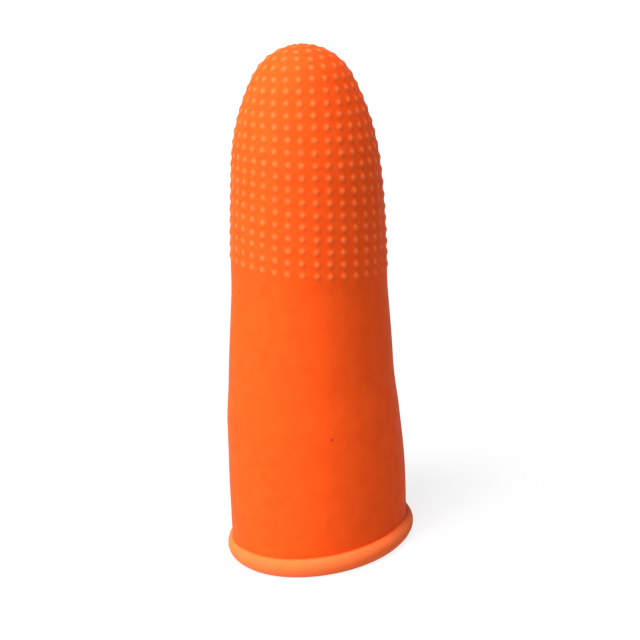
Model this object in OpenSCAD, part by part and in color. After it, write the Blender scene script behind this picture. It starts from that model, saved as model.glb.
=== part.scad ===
/* [Whole cot] */
// Length from the surface it stands on to the crown, along the cot's own axis
cot_len = 65; // [60:0.5:75]
// Thickness of the moulded rubber wall
wall_t = 0.5; // [0.3:0.05:0.8]
// How far the body leans sideways over its rolled rim, in degrees
lean_a = 6; // [0:0.5:8]
// How far the body sits off the middle of its rim, sideways
rim_offset = 0.3; // [0:0.05:0.5]

/* [Body outline] */
// Outside diameter of the straight mouth, just above the rolled rim
mouth_d = 23.4; // [22:0.1:26]
// Length of the straight mouth, above the surface the cot stands on
mouth_len = 8; // [5:0.5:12]
// Outside diameter at the waist, where the studs begin
waist_d = 19.8; // [18.5:0.1:21.5]
// Radius of the long curve up the studded side
side_r = 80; // [70:1:100]
// Radius of the shoulder, between the side and the crown
shoulder_r = 14; // [12:0.25:15]
// Radius of the crown at the very tip
crown_r = 7; // [6.5:0.1:8]
// Angle above level at which the shoulder gives way to the crown, in degrees
crown_a = 40; // [35:1:50]

/* [Rolled rim] */
// Diameter of the rolled bead around the mouth
bead_d = 2.2; // [1.6:0.1:2.8]
// How far the middle of the bead lies inside the outer surface of the mouth
bead_inset = 0.3; // [0:0.05:0.6]
// Height by which the soft bead is pressed flat where it stands
bead_flat = 0.08; // [0.02:0.01:0.2]

/* [Studs] */
// Rings of studs, besides the single stud on the tip
stud_rings = 21; // [10:1:22]
// Distance from the tip to the first ring, along the surface
first_ring = 1.85; // [1.5:0.05:2.2]
// Distance from each ring to the next, along the surface
ring_pitch = 1.46; // [1.3:0.02:1.6]
// Studs in a full ring around the side
studs_around = 36; // [24:2:40]
// Distance from stud to stud on the crown, where a ring holds fewer of them
crown_pitch = 1.6; // [1.4:0.05:2]
// Diameter of a stud where it meets the surface
stud_d = 0.94; // [0.7:0.02:1.1]
// Height of a stud above the surface
stud_h = 0.25; // [0.15:0.01:0.35]
// Tilt of the rings on the side, in degrees; it fades away towards the crown
ring_tilt = 5.5; // [0:0.5:7]
// Sideways drift of the columns of studs for each millimetre down the side
column_drift = 0.02; // [0:0.01:0.04]

/* [Hidden] */
$fn = 72;

// Outline of the side, shoulder and crown: three arcs, each tangent to the next.
// Angles are those of the surface's normal above level.
side_a = acos((side_r - waist_d / 2 - (shoulder_r - crown_r) * cos(crown_a))
              / (side_r - shoulder_r));
crown_c = [0, cot_len - crown_r];
shoulder_c = crown_c - (shoulder_r - crown_r) * [cos(crown_a), sin(crown_a)];
side_c = shoulder_c - (side_r - shoulder_r) * [cos(side_a), sin(side_a)];
waist_h = side_c[1];

// Lengths of the three arcs, measured down from the tip
crown_arc = crown_r * (90 - crown_a) * PI / 180;
shoulder_arc = shoulder_r * (crown_a - side_a) * PI / 180;
side_arc = side_r * side_a * PI / 180;

// A stud is the cap of a ball that is sunk into the surface
ball_r = (pow(stud_d / 2, 2) + pow(stud_h, 2)) / (2 * stud_h);
ball_depth = ball_r - stud_h;

// The side's curve runs on below the lowest ring, and the flare begins there
last_ring = first_ring + (stud_rings - 1) * ring_pitch;
studs_reach = last_ring + waist_d / 2 * tan(ring_tilt) + stud_d;
flare_top = waist_h - max(0, studs_reach - crown_arc - shoulder_arc - side_arc);

// Angle of the normal at a distance down the outline from the tip
function normal_a(down) =
    down < crown_arc ? 90 - down / crown_r * 180 / PI :
    down < crown_arc + shoulder_arc ? crown_a - (down - crown_arc) / shoulder_r * 180 / PI :
    side_a - (down - crown_arc - shoulder_arc) / side_r * 180 / PI;

// Point of the outline at that distance, raised above the surface by out
function outline_point(down, out = 0) =
    let (a = normal_a(down))
    let (way = [cos(a), sin(a)])
    down < crown_arc ? crown_c + (crown_r + out) * way :
    down < crown_arc + shoulder_arc ? shoulder_c + (shoulder_r + out) * way :
    side_c + (side_r + out) * way;

// Radius of the flare at a height: it eases from the straight mouth into the side's curve
function flare_r(h) =
    let (t = (h - mouth_len) / (flare_top - mouth_len))
    mouth_d / 2 + (side_edge_r - mouth_d / 2) * t * t * (3 - 2 * t);
side_edge_r = side_c[0] + sqrt(pow(side_r, 2) - pow(flare_top - side_c[1], 2));

// Height of the middle of the bead above the surface it stands on
bead_h = bead_d / 2 - bead_flat;

// Number of studs in a ring at a distance from the tip, always even
function studs_in_ring(down) =
    min(studs_around, 2 * round(PI * outline_point(down)[0] / crown_pitch));

// One arc of the outline, cut to the heights it serves
module arc_band(centre, radius, low, high) {
    intersection() {
        translate(centre) circle(r = radius, $fn = 256);
        translate([0, low]) square([mouth_d, high - low]);
    }
}

// Half section of the body, filled to its axis, with its surface taken in by inset
module half_section(inset) {
    shoulder_low = outline_point(crown_arc + shoulder_arc)[1];
    crown_low = outline_point(crown_arc)[1];
    arc_band(crown_c, crown_r - inset, crown_low, cot_len);
    arc_band(shoulder_c, shoulder_r - inset, shoulder_low, crown_low);
    arc_band(side_c, side_r - inset, flare_top, shoulder_low);
    flare_steps = 12;
    polygon(concat(
        [[0, flare_top], [0, -mouth_len], [mouth_d / 2 - inset, -mouth_len]],
        [for (i = [0 : flare_steps])
            let (h = mouth_len + (flare_top - mouth_len) * i / flare_steps)
            [flare_r(h) - inset, h]]
    ));
}

// A body of revolution, with the start of its turn at the back, between two columns of studs
module turned(inset) {
    rotate([0, 0, 90]) rotate_extrude() half_section(inset);
}

module stud(down, around) {
    a = normal_a(down);
    p = outline_point(down, -ball_depth);
    rotate([0, 0, around]) translate([p[0], 0, p[1]])
        rotate([0, a, 180]) sphere(r = ball_r);
}

module studs() {
    stud(0, 0);
    for (k = [0 : stud_rings - 1]) {
        down = first_ring + k * ring_pitch;
        count = studs_in_ring(down);
        r = outline_point(down)[0];
        below_crown = max(0, down - crown_arc);
        tilt_share = min(1, below_crown / side_arc);
        drift = column_drift * below_crown / r * 180 / PI;
        for (j = [0 : count - 1]) {
            around = 90 + (j + 0.5) * 360 / count - drift;
            stud(down + tilt_share * r * cos(around) * tan(ring_tilt), around);
        }
    }
}

// Moves a shape from the body's own upright frame to where the body leans over its rim
module leaning() translate([-rim_offset, 0, 0]) rotate([0, lean_a, 0]) children();

// The studded shell, cut off level in the middle of the bead
module shell() {
    difference() {
        leaning() union() {
            turned(0);
            studs();
        }
        leaning() turned(wall_t);
        translate([0, 0, bead_h - cot_len]) cylinder(h = cot_len, d = 2 * mouth_d);
    }
}

// The rolled edge of the rubber, with the narrow flat ring it stands on
module rolled_bead() {
    difference() {
        translate([0, 0, bead_h]) rotate_extrude()
            translate([mouth_d / 2 - bead_inset, 0]) circle(d = bead_d);
        translate([0, 0, -bead_d]) cylinder(h = bead_d, d = 2 * mouth_d);
    }
}

module finger_cot() color("orangered") {
    shell();
    rolled_bead();
}

finger_cot();
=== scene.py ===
"""A studded latex finger cot, standing on its rolled rim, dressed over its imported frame."""

from __future__ import annotations

import logging
import math
from collections.abc import Sequence
from dataclasses import dataclass, field
from enum import Enum
from functools import cache, cached_property

import bmesh
import bpy
from mathutils import Matrix, Vector, noise

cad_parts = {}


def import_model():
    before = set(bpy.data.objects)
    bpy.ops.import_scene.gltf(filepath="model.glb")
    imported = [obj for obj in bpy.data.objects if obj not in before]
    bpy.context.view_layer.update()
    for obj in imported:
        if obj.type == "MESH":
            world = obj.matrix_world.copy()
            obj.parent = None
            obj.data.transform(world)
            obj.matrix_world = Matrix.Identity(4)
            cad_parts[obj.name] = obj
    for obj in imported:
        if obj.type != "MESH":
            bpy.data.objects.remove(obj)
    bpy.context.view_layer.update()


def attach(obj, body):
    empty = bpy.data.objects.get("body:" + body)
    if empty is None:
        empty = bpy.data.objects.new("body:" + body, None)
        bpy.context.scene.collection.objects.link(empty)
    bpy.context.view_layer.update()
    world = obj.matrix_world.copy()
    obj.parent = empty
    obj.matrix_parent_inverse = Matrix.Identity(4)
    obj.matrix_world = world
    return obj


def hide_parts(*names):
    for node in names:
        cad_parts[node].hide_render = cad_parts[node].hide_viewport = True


LOG = logging.getLogger("finger_cot")
MM = 0.001
TINY = 1e-7
WHITE = (1.0, 1.0, 1.0, 1.0)
PALE_AND_HIGHLIGHT = "pale"


class Skin(Enum):
    """The stretches of the cot's section, from the tip outside to the tip inside."""

    OUTER = 0
    BEAD = 1
    INNER = 2


class Uneven(Enum):
    """The small ways in which one stud differs from the next, each with its own seed."""

    ACROSS = 1.0
    ALONG = 2.0
    HEIGHT = 3.0


def smooth_step(low: float, high: float, value: float) -> float:
    """Ease from 0 to 1 as the value goes from low to high."""
    t = min(1.0, max(0.0, (value - low) / (high - low)))
    return t * t * (3.0 - 2.0 * t)


@cache
def scatter(which: Uneven, row: int, column: int) -> float:
    """Give one stud its own steady number.

    Args:
        which: The way in which studs differ that the number is for.
        row: The ring that the stud is in.
        column: The stud's place in its ring.

    Returns:
        A number from -1 to 1, the same on every run.
    """
    row_step, column_step, seed_step, gain = 7.31, 3.17, 1.7, 1.6
    seed = which.value
    spot = Vector((row * row_step + seed, column * column_step - seed, seed * seed_step))
    return max(-1.0, min(1.0, gain * noise.noise(spot)))


def combine(
    tree: bpy.types.NodeTree,
    operation: str,
    first: bpy.types.NodeSocket,
    second: bpy.types.NodeSocket | float,
) -> bpy.types.NodeSocket:
    """Add a maths node.

    Args:
        tree: The node tree it goes in.
        operation: What it does with its two values.
        first: The first value.
        second: The second value, a socket or a plain number.

    Returns:
        The socket with the result.
    """
    node = tree.nodes.new("ShaderNodeMath")
    node.operation = operation
    tree.links.new(first, node.inputs[0])
    if isinstance(second, float):
        node.inputs[1].default_value = second
    else:
        tree.links.new(second, node.inputs[1])
    return node.outputs["Value"]


def spread(
    tree: bpy.types.NodeTree,
    value: bpy.types.NodeSocket,
    source: tuple[float, float],
    result: tuple[float, float],
) -> bpy.types.NodeSocket:
    """Add a node that maps one range of values to another.

    Args:
        tree: The node tree it goes in.
        value: The value to map.
        source: The two values between which it is mapped.
        result: What those two values become.

    Returns:
        The socket with the result.
    """
    node = tree.nodes.new("ShaderNodeMapRange")
    node.inputs["From Min"].default_value, node.inputs["From Max"].default_value = source
    node.inputs["To Min"].default_value, node.inputs["To Max"].default_value = result
    tree.links.new(value, node.inputs["Value"])
    return node.outputs["Result"]


def blend(
    tree: bpy.types.NodeTree,
    share: bpy.types.NodeSocket,
    first: bpy.types.NodeSocket,
    second: bpy.types.NodeSocket,
) -> bpy.types.NodeSocket:
    """Add a node that mixes two colours.

    Args:
        tree: The node tree it goes in.
        share: How much of the second colour there is.
        first: The first colour.
        second: The second colour.

    Returns:
        The socket with the mixed colour.
    """
    node = tree.nodes.new("ShaderNodeMix")
    node.data_type = "RGBA"
    tree.links.new(share, node.inputs["Factor"])
    tree.links.new(first, node.inputs["A"])
    tree.links.new(second, node.inputs["B"])
    return node.outputs["Result"]


@dataclass(frozen=True)
class Outline:
    """The cot's moulded outline, in its own upright frame. Sizes are in millimetres."""

    length: float = 65.0
    wall: float = 0.5
    mouth_r: float = 11.65
    mouth_len: float = 7.0
    mouth_ease: float = 0.3
    waist_ease: float = 0.1
    waist_r: float = 9.9
    side_r: float = 180.0
    shoulder_r: float = 29.0
    crown_r: float = 6.85
    crown_angle: float = math.radians(27.5)
    flare_down: float = 32.763

    @cached_property
    def side_angle(self) -> float:
        """Angle of the normal where the side gives way to the shoulder."""
        inset = (self.shoulder_r - self.crown_r) * math.cos(self.crown_angle)
        return math.acos((self.side_r - self.waist_r - inset) / (self.side_r - self.shoulder_r))

    @cached_property
    def crown_arc(self) -> float:
        """Length of the crown's arc, from the tip."""
        return self.crown_r * (math.pi / 2.0 - self.crown_angle)

    @cached_property
    def shoulder_arc(self) -> float:
        """Length of the shoulder's arc."""
        return self.shoulder_r * (self.crown_angle - self.side_angle)

    @cached_property
    def side_arc(self) -> float:
        """Length of the side's arc, down to the waist."""
        return self.side_r * self.side_angle

    def arc_place(self, down: float, out: float = 0.0) -> tuple[float, float]:
        """Point of the crown, shoulder or side.

        Args:
            down: Distance from the tip along the outline.
            out: Distance by which the point stands off the surface.

        Returns:
            Radius and height.
        """
        angle = self.normal_angle(down)
        centre = (0.0, self.length - self.crown_r)
        radius = self.crown_r
        steps = (
            (self.crown_arc, self.shoulder_r, self.crown_angle),
            (self.crown_arc + self.shoulder_arc, self.side_r, self.side_angle),
        )
        for start, wider, turn in steps:
            if down >= start:
                grow = wider - radius
                centre = (centre[0] - grow * math.cos(turn), centre[1] - grow * math.sin(turn))
                radius = wider
        reach = radius + out
        return centre[0] + reach * math.cos(angle), centre[1] + reach * math.sin(angle)

    def normal_angle(self, down: float) -> float:
        """Angle of the surface's normal above level.

        Args:
            down: Distance from the tip along the outline.

        Returns:
            The angle in radians.
        """
        if down < self.crown_arc:
            return math.pi / 2.0 - down / self.crown_r
        if down < self.crown_arc + self.shoulder_arc:
            return self.crown_angle - (down - self.crown_arc) / self.shoulder_r
        return self.side_angle - (down - self.crown_arc - self.shoulder_arc) / self.side_r

    def flare(self, height: float) -> tuple[float, float]:
        """Radius of the plain body, and how fast it changes with height.

        Args:
            height: Height above the mouth, along the cot's axis.

        Returns:
            The radius and its slope.
        """
        edge, top = self.arc_place(self.flare_down)
        span = top - self.mouth_len
        t = min(1.0, max(0.0, (height - self.mouth_len) / span))
        steepness = 1.0 / (1.0 - (self.mouth_ease + self.waist_ease) / 2.0)
        if t < self.mouth_ease:
            share, rate = t * t / (2.0 * self.mouth_ease), t / self.mouth_ease
        elif t < 1.0 - self.waist_ease:
            share, rate = t - self.mouth_ease / 2.0, 1.0
        else:
            share = 1.0 / steepness - (1.0 - t) ** 2 / (2.0 * self.waist_ease)
            rate = (1.0 - t) / self.waist_ease
        narrowing = (edge - self.mouth_r) * steepness
        return self.mouth_r + narrowing * share, narrowing * rate / span

    def place(self, down: float, out: float = 0.0) -> tuple[float, float]:
        """Point of the section at a distance down the outline.

        Args:
            down: Distance from the tip along the outline.
            out: Distance by which the point stands off the surface.

        Returns:
            Radius and height.
        """
        if down < self.flare_down:
            return self.arc_place(down, out)
        height = self.arc_place(self.flare_down)[1] - (down - self.flare_down)
        radius, slope = self.flare(height)
        scale = out / math.hypot(1.0, slope)
        return radius + scale, height - slope * scale

    def down_at(self, height: float) -> float:
        """Distance from the tip at which the plain body has a height."""
        return self.flare_down + self.arc_place(self.flare_down)[1] - height


@dataclass(frozen=True)
class StudPattern:
    """The rings of small round studs. Sizes are in millimetres."""

    rings: int = 21
    pitch: float = 1.47
    around: int = 36
    crown_pitch: float = 1.6
    foot_r: float = 0.47
    height: float = 0.155
    fullness: float = 1.15
    tilt: float = math.radians(5.5)
    turn: float = math.radians(2.2)
    drift: float = 0.03
    uneven_height: float = 0.25
    uneven_place: float = 0.07

    def count(self, outline: Outline, down: float) -> int:
        """Number of studs in the ring at a distance from the tip."""
        return min(self.around, 2 * int(math.pi * outline.place(down)[0] / self.crown_pitch + 0.5))

    def twist(self, outline: Outline, down: float) -> float:
        """Angle that the columns are turned about the axis, in radians, so far from the tip."""
        below_crown = max(0.0, down - outline.crown_arc)
        return self.turn - self.drift * below_crown / max(1.0, outline.place(down)[0])

    def rise(self, outline: Outline, down: float, turn: float) -> float:
        """Height of the studs over the surface at a point.

        Args:
            outline: The surface that carries them.
            down: The point's distance from the tip, on the rings' own lines.
            turn: The point's angle around the axis, less the twist of the columns, in radians.

        Returns:
            The height in millimetres.
        """
        ring = round(down / self.pitch)
        if ring < 1:
            return self._cap(down, self.height)
        if ring > self.rings:
            return 0.0
        at = ring * self.pitch
        count = self.count(outline, at)
        lane = (turn - math.pi / 2.0) * count / (2.0 * math.pi) - 0.5
        column = round(lane)
        place = column % count
        across = (lane - column) * 2.0 * math.pi / count * outline.place(down)[0]
        across += self.uneven_place * scatter(Uneven.ACROSS, ring, place)
        along = down - at + self.uneven_place * scatter(Uneven.ALONG, ring, place)
        lower = self.uneven_height * (0.5 + 0.5 * scatter(Uneven.HEIGHT, ring, place))
        return self._cap(math.hypot(across, along), self.height * (1.0 - lower))

    def _cap(self, distance: float, height: float) -> float:
        """Height of one stud at a distance from its middle."""
        q = min(1.0, distance / self.foot_r)
        return height * (1.0 - q * q) ** self.fullness


@dataclass(frozen=True)
class RolledBead:
    """The rubber's edge, rolled into a bead around the mouth. Sizes are in millimetres."""

    section_r: float = 1.1
    ring_r: float = 11.39
    flat: float = 0.08
    thicker: float = 0.42
    front_ease: float = 0.6

    @property
    def crest(self) -> float:
        """Height of the bead's top above the surface it stands on, where it isn't thicker."""
        return 2.0 * self.section_r - self.flat

    def extra(self, turn: float) -> float:
        """Height added to the bead by the extra rubber rolled up at the front."""
        return self.thicker * smooth_step(0.0, self.front_ease, -math.sin(turn))

    def place(self, angle: float, turn: float = 0.0) -> tuple[float, float]:
        """Point of the bead's section.

        Args:
            angle: Angle above level around the section, from its outermost point.
            turn: Angle around the axis, in radians.

        Returns:
            Radius and height.
        """
        half = self.section_r + 0.5 * self.extra(turn)
        height = max(0.0, half - self.flat + half * math.sin(angle))
        return self.ring_r + self.section_r * math.cos(angle), height


@dataclass(frozen=True)
class HandWorn:
    """Slight unevenness of the soft body, by height along its axis.

    Sizes are in millimetres and slant_turn is in radians.
    """

    sway: tuple[tuple[float, float], ...] = (
        (3.0, 0.11),
        (12.0, 0.06),
        (21.0, -0.2),
        (30.0, -0.1),
        (39.0, 0.01),
        (48.0, 0.07),
        (56.0, -0.03),
        (64.0, 0.0),
    )
    ring_height: float = 20.5
    ring_depth: float = 0.07
    ring_width: float = 2.4
    ring_slant: float = 0.8
    slant_turn: float = 0.6

    def aside(self, height: float) -> float:
        """Find how far the body is bent sideways.

        Args:
            height: Height along the cot's axis.

        Returns:
            The sideways shift.
        """
        knots = self.sway
        if height <= knots[0][0]:
            return knots[0][1]
        for k in range(len(knots) - 1):
            low, high = knots[k], knots[k + 1]
            if height < high[0]:
                t = (height - low[0]) / (high[0] - low[0])
                before = knots[max(0, k - 1)][1]
                after = knots[min(len(knots) - 1, k + 2)][1]
                straight = low[1] + (high[1] - low[1]) * t * t * (3.0 - 2.0 * t)
                leaving = t * (1.0 - t) ** 2 * (high[1] - before) * 0.5
                arriving = t * t * (1.0 - t) * (after - low[1]) * 0.5
                return straight + (leaving - arriving)
        return knots[-1][1]

    def swell(self, height: float, turn: float) -> float:
        """Find how far a faint ring in the plain body moves the surface out.

        Args:
            height: Height along the cot's axis.
            turn: Angle around the axis, in radians.

        Returns:
            The shift, in under the ring and out over it.
        """
        slant = self.ring_slant * math.cos(turn + self.slant_turn)
        away = (height - self.ring_height - slant) / self.ring_width
        return -self.ring_depth * away * math.exp(0.5 - 0.5 * away * away)


@dataclass(frozen=True)
class SpeckleSkin:
    """How the rubber's own colour and grain vary over it, with a paler colour mixed in that is a
    painted highlight on the stud tops and partly a painted highlight on the bead.
    """

    name: str = "Latex variation"
    mottle_detail: float = 6.0
    mottle_range: tuple[float, float] = (0.35, 0.7)
    speck_cells: float = 210.0
    speck_edge: tuple[float, float] = (0.035, 0.06)
    speck_rarity: float = 0.6
    grain_scale: float = 2600.0
    grain_detail: float = 3.0
    dullness: float = 0.07

    def group(self) -> bpy.types.ShaderNodeTree:
        """Build the shader group once.

        Returns:
            The group, which gives a colour, a roughness and a height.
        """
        found = bpy.data.node_groups.get(self.name)
        if found:
            return found
        tree = bpy.data.node_groups.new(self.name, "ShaderNodeTree")
        colours = ("Colour", "Mottle colour", "Speck colour", "Pale and highlight colour")
        sockets = (
            ("INPUT", "NodeSocketColor", colours),
            ("INPUT", "NodeSocketFloat", ("Mottle size", "Roughness")),
            ("OUTPUT", "NodeSocketColor", ("Colour",)),
            ("OUTPUT", "NodeSocketFloat", ("Roughness", "Height")),
        )
        for way, kind, names in sockets:
            for name in names:
                tree.interface.new_socket(name, in_out=way, socket_type=kind)
        start, end = tree.nodes.new("NodeGroupInput"), tree.nodes.new("NodeGroupOutput")
        where = tree.nodes.new("ShaderNodeTexCoord").outputs["Object"]

        mottle = tree.nodes.new("ShaderNodeTexNoise")
        mottle.inputs["Detail"].default_value = self.mottle_detail
        tree.links.new(where, mottle.inputs["Vector"])
        tree.links.new(start.outputs["Mottle size"], mottle.inputs["Scale"])
        cloud = spread(tree, mottle.outputs["Fac"], self.mottle_range, (0.0, 1.0))
        colour = blend(tree, cloud, start.outputs["Colour"], start.outputs["Mottle colour"])

        # Painted highlight: the stud tops and the tip are painted paler; the bead's paleness is
        # partly its thicker rubber and partly painted highlight.
        pale_and_highlight = tree.nodes.new("ShaderNodeAttribute")
        pale_and_highlight.attribute_name = PALE_AND_HIGHLIGHT
        colour = blend(tree, pale_and_highlight.outputs["Fac"], colour, start.outputs["Pale and highlight colour"])

        colour = blend(tree, self.specks(tree, where), colour, start.outputs["Speck colour"])
        tree.links.new(colour, end.inputs["Colour"])

        dull = spread(tree, mottle.outputs["Fac"], (0.0, 1.0), (-self.dullness, self.dullness))
        rough = combine(tree, "ADD", start.outputs["Roughness"], dull)
        tree.links.new(rough, end.inputs["Roughness"])

        grain = tree.nodes.new("ShaderNodeTexNoise")
        grain.inputs["Scale"].default_value = self.grain_scale
        grain.inputs["Detail"].default_value = self.grain_detail
        tree.links.new(where, grain.inputs["Vector"])
        tree.links.new(grain.outputs["Fac"], end.inputs["Height"])
        return tree

    def specks(
        self, tree: bpy.types.ShaderNodeTree, where: bpy.types.NodeSocket
    ) -> bpy.types.NodeSocket:
        """Scatter a few dark specks.

        Args:
            tree: The group's node tree.
            where: The place on the piece.

        Returns:
            The socket that is 1 in a speck and 0 elsewhere.
        """
        cells = tree.nodes.new("ShaderNodeTexVoronoi")
        cells.inputs["Scale"].default_value = self.speck_cells
        tree.links.new(where, cells.inputs["Vector"])
        dots = spread(tree, cells.outputs["Distance"], self.speck_edge, (1.0, 0.0))
        pick = tree.nodes.new("ShaderNodeSeparateColor")
        tree.links.new(cells.outputs["Color"], pick.inputs["Color"])
        chosen = combine(tree, "GREATER_THAN", pick.outputs["Red"], self.speck_rarity)
        return combine(tree, "MULTIPLY", dots, chosen)


@dataclass(frozen=True)
class MattLatex:
    """Matt orange latex rubber, lightly powdered, with a painted highlight that makes the stud
    tops and tip paler, and a paler bead that is partly its thicker rolled rubber and partly
    painted highlight.
    """

    name: str = "Matt orange latex"
    colour: tuple[float, float, float, float] = (0.94, 0.094, 0.011, 1.0)
    mottle: tuple[float, float, float, float] = (0.9, 0.081, 0.0085, 1.0)
    speck: tuple[float, float, float, float] = (0.45, 0.045, 0.008, 1.0)
    # The pale colour and its shares: a painted highlight on the stud tops and the tip, and on the
    # bead partly thicker rolled rubber, partly painted highlight.
    pale: tuple[float, float, float, float] = (0.95, 0.24, 0.075, 1.0)
    stud_highlight_share: float = 0.6
    # The bead's share of the pale colour: partly its thicker rolled rubber, partly a painted
    # highlight.
    bead_rubber_and_highlight_share: float = 0.5
    mottle_size: float = 650.0
    roughness: float = 0.6
    grain_strength: float = 0.3
    grain_depth: float = 0.0001
    refraction: float = 1.5
    shine: float = 0.06
    shine_tint: tuple[float, float, float, float] = (1.0, 0.6, 0.3, 1.0)
    glow_share: float = 0.1
    glow_reach: tuple[float, float, float] = (1.0, 0.12, 0.04)
    glow_depth: float = 0.002

    def build(self) -> bpy.types.Material:
        """Make the material.

        Returns:
            The material, ready to go in a slot.
        """
        material = bpy.data.materials.new(self.name)
        material.use_nodes = True
        nodes, links = material.node_tree.nodes, material.node_tree.links
        vary = nodes.new("ShaderNodeGroup")
        vary.node_tree = SpeckleSkin().group()
        vary.inputs["Colour"].default_value = self.colour
        vary.inputs["Mottle colour"].default_value = self.mottle
        vary.inputs["Speck colour"].default_value = self.speck
        vary.inputs["Pale and highlight colour"].default_value = self.pale
        vary.inputs["Mottle size"].default_value = self.mottle_size
        vary.inputs["Roughness"].default_value = self.roughness
        bump = nodes.new("ShaderNodeBump")
        bump.inputs["Strength"].default_value = self.grain_strength
        bump.inputs["Distance"].default_value = self.grain_depth
        links.new(vary.outputs["Height"], bump.inputs["Height"])
        shader = nodes["Principled BSDF"]
        links.new(vary.outputs["Colour"], shader.inputs["Base Color"])
        links.new(vary.outputs["Roughness"], shader.inputs["Roughness"])
        links.new(bump.outputs["Normal"], shader.inputs["Normal"])
        shader.inputs["IOR"].default_value = self.refraction
        shader.inputs["Specular IOR Level"].default_value = self.shine
        shader.inputs["Specular Tint"].default_value = self.shine_tint
        shader.inputs["Subsurface Weight"].default_value = self.glow_share
        shader.inputs["Subsurface Radius"].default_value = self.glow_reach
        shader.inputs["Subsurface Scale"].default_value = self.glow_depth
        return material


@dataclass
class FingerCot:
    """The whole cot: one skin of rubber, from its studded tip to its rolled rim.

    Sizes are in millimetres, until the skin is made.
    """

    outline: Outline = field(default_factory=Outline)
    studs: StudPattern = field(default_factory=StudPattern)
    bead: RolledBead = field(default_factory=RolledBead)
    finish: MattLatex = field(default_factory=MattLatex)
    worn: HandWorn = field(default_factory=HandWorn)
    lean: float = math.radians(6.2)
    rim_offset: float = 0.35
    segments: int = 360
    rows_per_ring: int = 8
    rows_past_studs: int = 4
    row_growth: float = 1.25
    row_closing: float = 0.3
    rows_left: float = 3.0
    row_range: tuple[float, float] = (0.16, 1.1)
    bead_steps: int = 22
    inner_steps: int = 26
    level_reach: float = 4.0
    lift_reach: float = 5.0
    crease_slack: float = 0.001

    def outer_stations(self) -> list[float]:
        """Distances from the tip at which the outer skin has a ring of points.

        Below the studs the rings of points grow apart, and they close up again at the crease.

        Returns:
            The distances in millimetres, from the tip to the crease over the bead.
        """
        step = self.studs.pitch / self.rows_per_ring
        studded = self.studs.rings * self.rows_per_ring + self.rows_past_studs
        rows = [step * i for i in range(studded)]
        crease = self.crease_down()
        shortest, longest = self.row_range
        while crease - rows[-1] > self.rows_left * step:
            closing = max(shortest, (crease - rows[-1]) * self.row_closing)
            step = min(step * self.row_growth, longest, closing)
            rows.append(rows[-1] + step)
        rows.append(crease)
        return rows

    def inner_stations(self) -> list[float]:
        """Distances from the tip at which the inner skin has a ring of points, going up."""
        crease = self.crease_down()
        return [crease * (1.0 - (i / self.inner_steps)) for i in range(self.inner_steps + 1)]

    def crease_down(self) -> float:
        """Distance from the tip at which the body meets the top of its bead."""
        return self.outline.down_at(self.bead.crest)

    def ring_shift(self, down: float, turn: float) -> float:
        """How far a ring is moved down one side of the cot and up the other.

        On the side the rings are tilted, and at the mouth they follow the top of the bead.

        Args:
            down: The ring's distance from the tip.
            turn: Angle around the axis, in radians.

        Returns:
            The shift in millimetres, down the outline.
        """
        crease = self.crease_down()
        share = min(1.0, max(0.0, down - self.outline.crown_arc) / self.outline.side_arc)
        level = smooth_step(self.outline.flare_down, crease - self.level_reach, down)
        slope = (1.0 - level) * share * math.tan(self.studs.tilt) - level * math.tan(self.lean)
        lift = self.bead.extra(turn) * smooth_step(crease - self.lift_reach, crease, down)
        return slope * self.outline.place(down)[0] * math.cos(turn) - lift

    def leaning(self, radius: float, height: float, turn: float) -> Vector:
        """Carry a point of the upright cot to where the cot leans over its rim.

        Args:
            radius: The point's distance from the cot's axis.
            height: The point's height along the axis.
            turn: The point's angle around the axis, in radians.

        Returns:
            The point in millimetres, in the rim's frame.
        """
        x, y = radius * math.cos(turn) + self.worn.aside(height), radius * math.sin(turn)
        c, s = math.cos(self.lean), math.sin(self.lean)
        return Vector((x * c + height * s - self.rim_offset, y, height * c - x * s))

    def skin_point(self, skin: Skin, along: float, turn: float) -> tuple[Vector, float]:
        """Find where one point of the skin lies.

        Args:
            skin: Which stretch of the section it is on.
            along: Its distance from the tip, or its angle around the bead.
            turn: Its angle around the axis, in radians.

        Returns:
            The point in millimetres, and how much of the paler colour it gets there: a painted
            highlight on the stud tops and the tip, and on the bead partly thicker rubber, partly
            painted highlight.
        """
        if skin is Skin.BEAD:
            radius, height = self.bead.place(along, turn)
            point = Vector((radius * math.cos(turn), radius * math.sin(turn), height))
            # The bead is paler all round, partly for its thicker rolled rubber and partly as a
            # painted highlight.
            return point, self.finish.bead_rubber_and_highlight_share
        if along < TINY:
            tip = self.studs.height if skin is Skin.OUTER else -self.outline.wall
            # The tip gets the studs' painted highlight.
            return self.leaning(0.0, self.outline.length + tip, 0.0), self.finish.stud_highlight_share
        rise = -self.outline.wall
        twist = share = 0.0
        if skin is Skin.OUTER:
            rise = self.studs.rise(self.outline, along, turn)
            # Painted highlight: the studs are painted paler towards their tops.
            share = self.finish.stud_highlight_share * rise / self.studs.height
            fade = 1.0 - smooth_step(self.outline.flare_down, self.crease_down(), along)
            twist = fade * self.studs.twist(self.outline, min(along, self.outline.flare_down))
        turn += twist
        down = max(0.0, along + self.ring_shift(along, turn))
        radius, height = self.outline.place(down, rise)
        radius += self.worn.swell(height, turn)
        return self.leaning(radius, height, turn), share

    def section(self) -> list[tuple[Skin, float, float, float]]:
        """Lay out the section, from the tip outside around the bead to the tip inside.

        Returns:
            For each point its stretch, its place along that, its radius and its height.
        """
        outline, bead = self.outline, self.bead
        top_out = math.acos((outline.mouth_r - bead.ring_r) / bead.section_r)
        top_in = math.acos((outline.mouth_r - outline.wall - bead.ring_r) / bead.section_r)
        span = top_in - 2.0 * math.pi - top_out
        around = [top_out + span * i / self.bead_steps for i in range(1, self.bead_steps)]
        outer = [(Skin.OUTER, down, *outline.place(down)) for down in self.outer_stations()]
        rolled = [(Skin.BEAD, angle, *bead.place(angle)) for angle in around]
        inset = -outline.wall
        inner = [(Skin.INNER, down, *outline.place(down, inset)) for down in self.inner_stations()]
        return outer + rolled + inner

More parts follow.
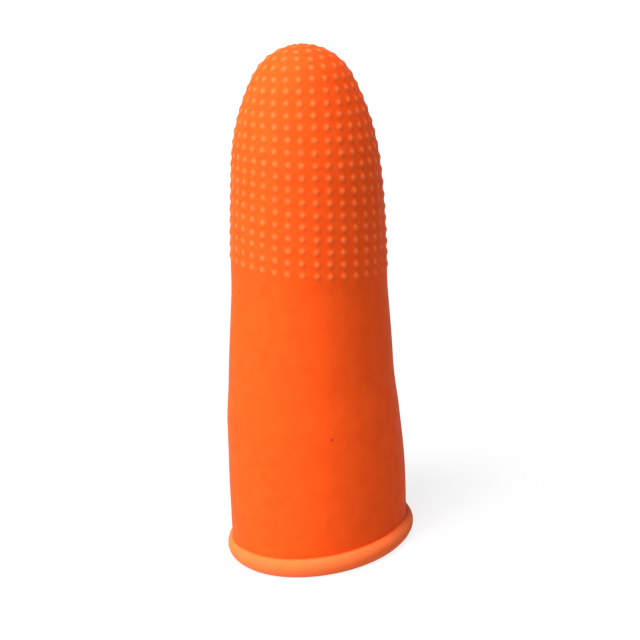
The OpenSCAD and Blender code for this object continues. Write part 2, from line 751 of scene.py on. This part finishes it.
    def mesh(self) -> bmesh.types.BMesh:
        """Turn the section into the whole skin.

        Returns:
            The closed skin, in metres.
        """
        bm = bmesh.new()
        kind = bm.verts.layers.int.new("skin")
        along = bm.verts.layers.float.new("along")
        # Layer for the paler colour: painted highlight on the stud tops and tip, and on the bead
        # partly thicker rubber, partly painted highlight.
        pale = bm.verts.layers.float.new(PALE_AND_HIGHLIGHT)
        last = None
        for skin, value, radius, height in self.section():
            vert = bm.verts.new((max(0.0, radius) if value else 0.0, 0.0, height))
            vert[kind], vert[along] = skin.value, value
            if last is not None:
                bm.edges.new((last, vert))
            last = vert
        bmesh.ops.spin(
            bm,
            geom=bm.verts[:] + bm.edges[:],
            cent=(0.0, 0.0, 0.0),
            axis=(0.0, 0.0, 1.0),
            angle=2.0 * math.pi,
            steps=self.segments,
            use_merge=True,
        )
        for vert in bm.verts:
            turn = math.atan2(vert.co.y, vert.co.x)
            point, vert[pale] = self.skin_point(Skin(vert[kind]), vert[along], turn)
            vert.co = point * MM
        bmesh.ops.remove_doubles(bm, verts=bm.verts[:], dist=TINY)
        crease = self.crease_down() - self.crease_slack
        for edge in bm.edges:
            edge.smooth = any(v[kind] == Skin.BEAD.value or v[along] < crease for v in edge.verts)
        bmesh.ops.recalc_face_normals(bm, faces=bm.faces[:])
        return bm

    def build(self) -> bpy.types.Object:
        """Make the dressed cot.

        Returns:
            The cot's object.
        """
        bm = self.mesh()
        data = bpy.data.meshes.new("studded_cot")
        bm.to_mesh(data)
        bm.free()
        data.polygons.foreach_set("use_smooth", [True] * len(data.polygons))
        cot = bpy.data.objects.new("studded_cot", data)
        bpy.context.scene.collection.objects.link(cot)
        data.materials.append(self.finish.build())
        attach(cot, "root")
        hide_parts("finger_cot")
        return cot


@dataclass(frozen=True)
class Viewpoint:
    """Where the photograph was taken from. Lengths are in millimetres, angles in radians."""

    focal_px: float = 1370.2
    side: float = 2.46
    distance: float = 168.4
    height: float = 80.07
    pitch: float = math.radians(16.608)
    yaw: float = math.radians(0.54)
    roll: float = math.radians(-8.451)
    frame_px: int = 640
    sensor: float = 36.0
    nearest: float = 5.0

    def build(self) -> bpy.types.Object:
        """Set up the camera.

        Returns:
            The scene's camera.
        """
        ahead = math.cos(self.pitch)
        forward = Vector(
            (math.sin(self.yaw) * ahead, math.cos(self.yaw) * ahead, -math.sin(self.pitch))
        )
        right = forward.cross(Vector((0.0, 0.0, 1.0))).normalized()
        up = right.cross(forward)
        c, s = math.cos(self.roll), math.sin(self.roll)
        right, up = c * right + s * up, -s * right + c * up
        data = bpy.data.cameras.new("camera")
        data.sensor_width = self.sensor
        data.lens = self.focal_px / self.frame_px * self.sensor
        data.clip_start = self.nearest * MM
        camera = bpy.data.objects.new("camera", data)
        turn = Matrix((right, up, -forward)).transposed().to_4x4()
        spot = Vector((self.side, -self.distance, self.height)) * MM
        camera.matrix_world = Matrix.Translation(spot) @ turn
        bpy.context.scene.collection.objects.link(camera)
        bpy.context.scene.camera = camera
        return camera


@dataclass(frozen=True)
class SoftLamp:
    """One studio lamp with a wide soft face."""

    name: str
    spot: tuple[float, float, float]
    size: float
    power: float

    def build(self, target: Vector) -> bpy.types.Object:
        """Hang the lamp and point it.

        Args:
            target: The point that it faces.

        Returns:
            The lamp.
        """
        data = bpy.data.lights.new(self.name, "AREA")
        data.size = self.size
        data.energy = self.power
        lamp = bpy.data.objects.new(self.name, data)
        lamp.location = self.spot
        lamp.rotation_euler = (target - Vector(self.spot)).to_track_quat("-Z", "Y").to_euler()
        bpy.context.scene.collection.objects.link(lamp)
        return lamp


@dataclass(frozen=True)
class Studio:
    """The pale floor, the white surroundings and the soft lamps. Lengths are in metres."""

    floor_size: float = 4.0
    floor_colour: tuple[float, float, float, float] = (0.5, 0.5, 0.5, 1.0)
    floor_roughness: float = 0.9
    floor_shine: float = 0.1
    floor_glow: float = 1.1
    glow_near: float = 0.75
    shadow_reach: tuple[float, float] = (0.05, 0.3)
    surround: float = 0.2
    aim: tuple[float, float, float] = (0.0, 0.0, 0.033)
    lamps: tuple[SoftLamp, ...] = (
        SoftLamp("key", (-0.5, -0.2, 0.34), 0.5, 4.6),
        SoftLamp("top", (-0.08, -0.17, 0.77), 0.22, 7.0),
    )

    def camera_white(self, tree: bpy.types.NodeTree) -> bpy.types.NodeSocket:
        """Find which rays see the surroundings as plain white.

        Args:
            tree: The node tree it goes in.

        Returns:
            A socket that is 1 for camera, glossy and transmission rays.
        """
        rays = tree.nodes.new("ShaderNodeLightPath").outputs
        seen = combine(tree, "MAXIMUM", rays["Is Camera Ray"], rays["Is Glossy Ray"])
        return combine(tree, "MAXIMUM", seen, rays["Is Transmission Ray"])

    def floor_finish(self) -> bpy.types.Material:
        """Make the floor's material, which glows white but keeps the shadow near the object.

        Returns:
            The material.
        """
        material = bpy.data.materials.new("White floor")
        material.use_nodes = True
        tree = material.node_tree
        shader = tree.nodes["Principled BSDF"]
        shader.inputs["Base Color"].default_value = self.floor_colour
        shader.inputs["Roughness"].default_value = self.floor_roughness
        shader.inputs["Specular IOR Level"].default_value = self.floor_shine
        glow = tree.nodes.new("ShaderNodeEmission")
        glow.inputs["Strength"].default_value = self.floor_glow
        where, away = tree.nodes.new("ShaderNodeTexCoord"), tree.nodes.new("ShaderNodeVectorMath")
        away.operation = "LENGTH"
        tree.links.new(where.outputs["Object"], away.inputs[0])
        clear = spread(tree, away.outputs["Value"], self.shadow_reach, (self.glow_near, 1.0))
        mix = tree.nodes.new("ShaderNodeMixShader")
        share = combine(tree, "MULTIPLY", self.camera_white(tree), clear)
        tree.links.new(share, mix.inputs["Fac"])
        tree.links.new(shader.outputs["BSDF"], mix.inputs[1])
        tree.links.new(glow.outputs["Emission"], mix.inputs[2])
        tree.links.new(mix.outputs["Shader"], tree.nodes["Material Output"].inputs["Surface"])
        return material

    def floor(self) -> bpy.types.Object:
        """Lay the floor.

        Returns:
            The floor's object.
        """
        bm = bmesh.new()
        bmesh.ops.create_grid(bm, x_segments=1, y_segments=1, size=self.floor_size)
        data = bpy.data.meshes.new("floor")
        bm.to_mesh(data)
        bm.free()
        floor = bpy.data.objects.new("floor", data)
        bpy.context.scene.collection.objects.link(floor)
        data.materials.append(self.floor_finish())
        return floor

    def world(self) -> bpy.types.World:
        """Surround the scene with plain soft light.

        Returns:
            The world.
        """
        world = bpy.data.worlds.new("studio")
        world.use_nodes = True
        tree = world.node_tree
        light = tree.nodes["Background"]
        light.inputs["Color"].default_value = WHITE
        light.inputs["Strength"].default_value = self.surround
        white = tree.nodes.new("ShaderNodeBackground")
        white.inputs["Color"].default_value = WHITE
        mix = tree.nodes.new("ShaderNodeMixShader")
        tree.links.new(self.camera_white(tree), mix.inputs["Fac"])
        tree.links.new(light.outputs["Background"], mix.inputs[1])
        tree.links.new(white.outputs["Background"], mix.inputs[2])
        tree.links.new(mix.outputs["Shader"], tree.nodes["World Output"].inputs["Surface"])
        bpy.context.scene.world = world
        return world

    def build(self) -> None:
        """Set up the floor, the surroundings and the lamps."""
        self.floor()
        self.world()
        for lamp in self.lamps:
            lamp.build(Vector(self.aim))
        bpy.context.scene.view_settings.view_transform = "Standard"


def main() -> None:
    """Build the camera, the studio and the cot, in that order."""
    logging.basicConfig(level=logging.INFO, format="%(name)s: %(message)s")
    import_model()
    Viewpoint().build()
    Studio().build()
    cot = FingerCot().build()
    LOG.info("built %s: %d faces", cot.name, len(cot.data.polygons))


if __name__ == "__main__":
    main()
